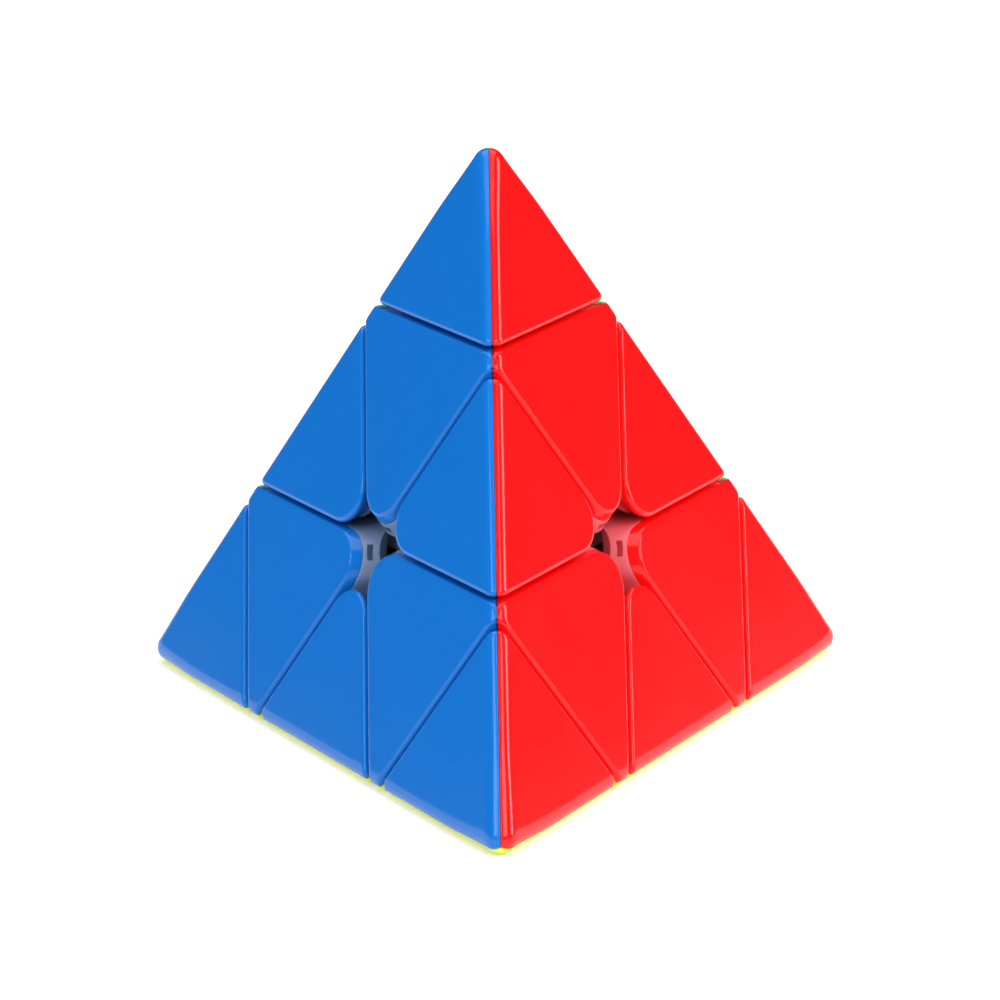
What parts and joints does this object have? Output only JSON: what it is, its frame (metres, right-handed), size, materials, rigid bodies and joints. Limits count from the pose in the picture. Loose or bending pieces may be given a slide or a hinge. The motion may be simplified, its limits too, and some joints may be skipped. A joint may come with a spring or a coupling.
{
  "type": "pyramid twisty puzzle",
  "caption": "Pyramid-shaped twisty puzzle in solid coloured plastic: turning corner layers, loose tips and edge pieces on a sprung screw core.",
  "frame": {"origin": "centre of the core ball, where the four turning axes meet", "axes": "+Z through the top tip, -Y towards the front tip, +X towards the right tip's side; the yellow face is down"},
  "size_m": [0.0968, 0.0841, 0.079],
  "materials": {
    "blue_shell": "moulded gloss blue",
    "red_shell": "moulded gloss red",
    "yellow_shell": "moulded gloss lemon yellow",
    "green_shell": "moulded gloss green",
    "white_plastic": "satin white, slightly translucent",
    "steel": "bright zinc-plated"
  },
  "bodies": {
    "core": {"core_spider": "white_plastic", "tension_screw_top": "steel", "spring_top": "steel", "tension_screw_front": "steel", "spring_front": "steel", "tension_screw_left": "steel", "spring_left": "steel", "tension_screw_right": "steel", "spring_right": "steel"},
    "axial_top": {"axial_top_base": "white_plastic", "axial_top_shell_green": "green_shell", "axial_top_shell_red": "red_shell", "axial_top_shell_blue": "blue_shell"},
    "tip_top": {"tip_top_base": "white_plastic", "tip_top_shell_green": "green_shell", "tip_top_shell_red": "red_shell", "tip_top_shell_blue": "blue_shell"},
    "axial_front": {"axial_front_base": "white_plastic", "axial_front_shell_yellow": "yellow_shell", "axial_front_shell_red": "red_shell", "axial_front_shell_blue": "blue_shell"},
    "tip_front": {"tip_front_base": "white_plastic", "tip_front_shell_yellow": "yellow_shell", "tip_front_shell_red": "red_shell", "tip_front_shell_blue": "blue_shell"},
    "axial_left": {"axial_left_base": "white_plastic", "axial_left_shell_yellow": "yellow_shell", "axial_left_shell_green": "green_shell", "axial_left_shell_blue": "blue_shell"},
    "tip_left": {"tip_left_base": "white_plastic", "tip_left_shell_yellow": "yellow_shell", "tip_left_shell_green": "green_shell", "tip_left_shell_blue": "blue_shell"},
    "axial_right": {"axial_right_base": "white_plastic", "axial_right_shell_yellow": "yellow_shell", "axial_right_shell_green": "green_shell", "axial_right_shell_red": "red_shell"},
    "tip_right": {"tip_right_base": "white_plastic", "tip_right_shell_yellow": "yellow_shell", "tip_right_shell_green": "green_shell", "tip_right_shell_red": "red_shell"},
    "edge_top_front": {"edge_top_front_base": "white_plastic", "edge_top_front_shell_red": "red_shell", "edge_top_front_shell_blue": "blue_shell"},
    "edge_top_left": {"edge_top_left_base": "white_plastic", "edge_top_left_shell_green": "green_shell", "edge_top_left_shell_blue": "blue_shell"},
    "edge_top_right": {"edge_top_right_base": "white_plastic", "edge_top_right_shell_green": "green_shell", "edge_top_right_shell_red": "red_shell"},
    "edge_front_left": {"edge_front_left_base": "white_plastic", "edge_front_left_shell_yellow": "yellow_shell", "edge_front_left_shell_blue": "blue_shell"},
    "edge_front_right": {"edge_front_right_base": "white_plastic", "edge_front_right_shell_yellow": "yellow_shell", "edge_front_right_shell_red": "red_shell"},
    "edge_left_right": {"edge_left_right_base": "white_plastic", "edge_left_right_shell_yellow": "yellow_shell", "edge_left_right_shell_green": "green_shell"}
  },
  "joints": [
    {"name": "top_turn", "type": "hinge", "parent": "core", "child": "axial_top", "pos_m": [0, 0, 0], "axis": [0, 0, 1], "range_deg": [-240, 120]},
    {"name": "front_turn", "type": "hinge", "parent": "core", "child": "axial_front", "pos_m": [0, 0, 0], "axis": [0, -0.9428, -0.3333], "range_deg": [-240, 120]},
    {"name": "left_turn", "type": "hinge", "parent": "core", "child": "axial_left", "pos_m": [0, 0, 0], "axis": [-0.8165, 0.4714, -0.3333], "range_deg": [-240, 120]},
    {"name": "right_turn", "type": "hinge", "parent": "core", "child": "axial_right", "pos_m": [0, 0, 0], "axis": [0.8165, 0.4714, -0.3333], "range_deg": [-240, 120]},
    {"name": "tip_top_turn", "type": "hinge", "parent": "axial_top", "child": "tip_top", "pos_m": [0, 0, 0], "axis": [0, 0, 1], "continuous": true},
    {"name": "tip_front_turn", "type": "hinge", "parent": "axial_front", "child": "tip_front", "pos_m": [0, 0, 0], "axis": [0, -0.9428, -0.3333], "continuous": true},
    {"name": "tip_left_turn", "type": "hinge", "parent": "axial_left", "child": "tip_left", "pos_m": [0, 0, 0], "axis": [-0.8165, 0.4714, -0.3333], "continuous": true},
    {"name": "tip_right_turn", "type": "hinge", "parent": "axial_right", "child": "tip_right", "pos_m": [0, 0, 0], "axis": [0.8165, 0.4714, -0.3333], "continuous": true},
    {"name": "edge_top_front_turn", "type": "hinge", "parent": "axial_top", "child": "edge_top_front", "pos_m": [0, 0, 0], "axis": [0, -0.9428, -0.3333], "range_deg": [-240, 120]},
    {"name": "edge_top_left_turn", "type": "hinge", "parent": "axial_top", "child": "edge_top_left", "pos_m": [0, 0, 0], "axis": [-0.8165, 0.4714, -0.3333], "range_deg": [-240, 120]},
    {"name": "edge_top_right_turn", "type": "hinge", "parent": "axial_top", "child": "edge_top_right", "pos_m": [0, 0, 0], "axis": [0.8165, 0.4714, -0.3333], "range_deg": [-240, 120]},
    {"name": "edge_front_left_turn", "type": "hinge", "parent": "axial_left", "child": "edge_front_left", "pos_m": [0, 0, 0], "axis": [0, -0.9428, -0.3333], "range_deg": [-240, 120]},
    {"name": "edge_front_right_turn", "type": "hinge", "parent": "axial_front", "child": "edge_front_right", "pos_m": [0, 0, 0], "axis": [0.8165, 0.4714, -0.3333], "range_deg": [-240, 120]},
    {"name": "edge_left_right_turn", "type": "hinge", "parent": "axial_right", "child": "edge_left_right", "pos_m": [0, 0, 0], "axis": [-0.8165, 0.4714, -0.3333], "range_deg": [-240, 120]}
  ],
  "couplings": [
    {"joint": "edge_top_front_turn", "follows": "front_turn", "ratio": 1},
    {"joint": "edge_top_left_turn", "follows": "left_turn", "ratio": 1},
    {"joint": "edge_top_right_turn", "follows": "right_turn", "ratio": 1},
    {"joint": "edge_front_left_turn", "follows": "front_turn", "ratio": 1},
    {"joint": "edge_front_right_turn", "follows": "right_turn", "ratio": 1},
    {"joint": "edge_left_right_turn", "follows": "left_turn", "ratio": 1}
  ]
}
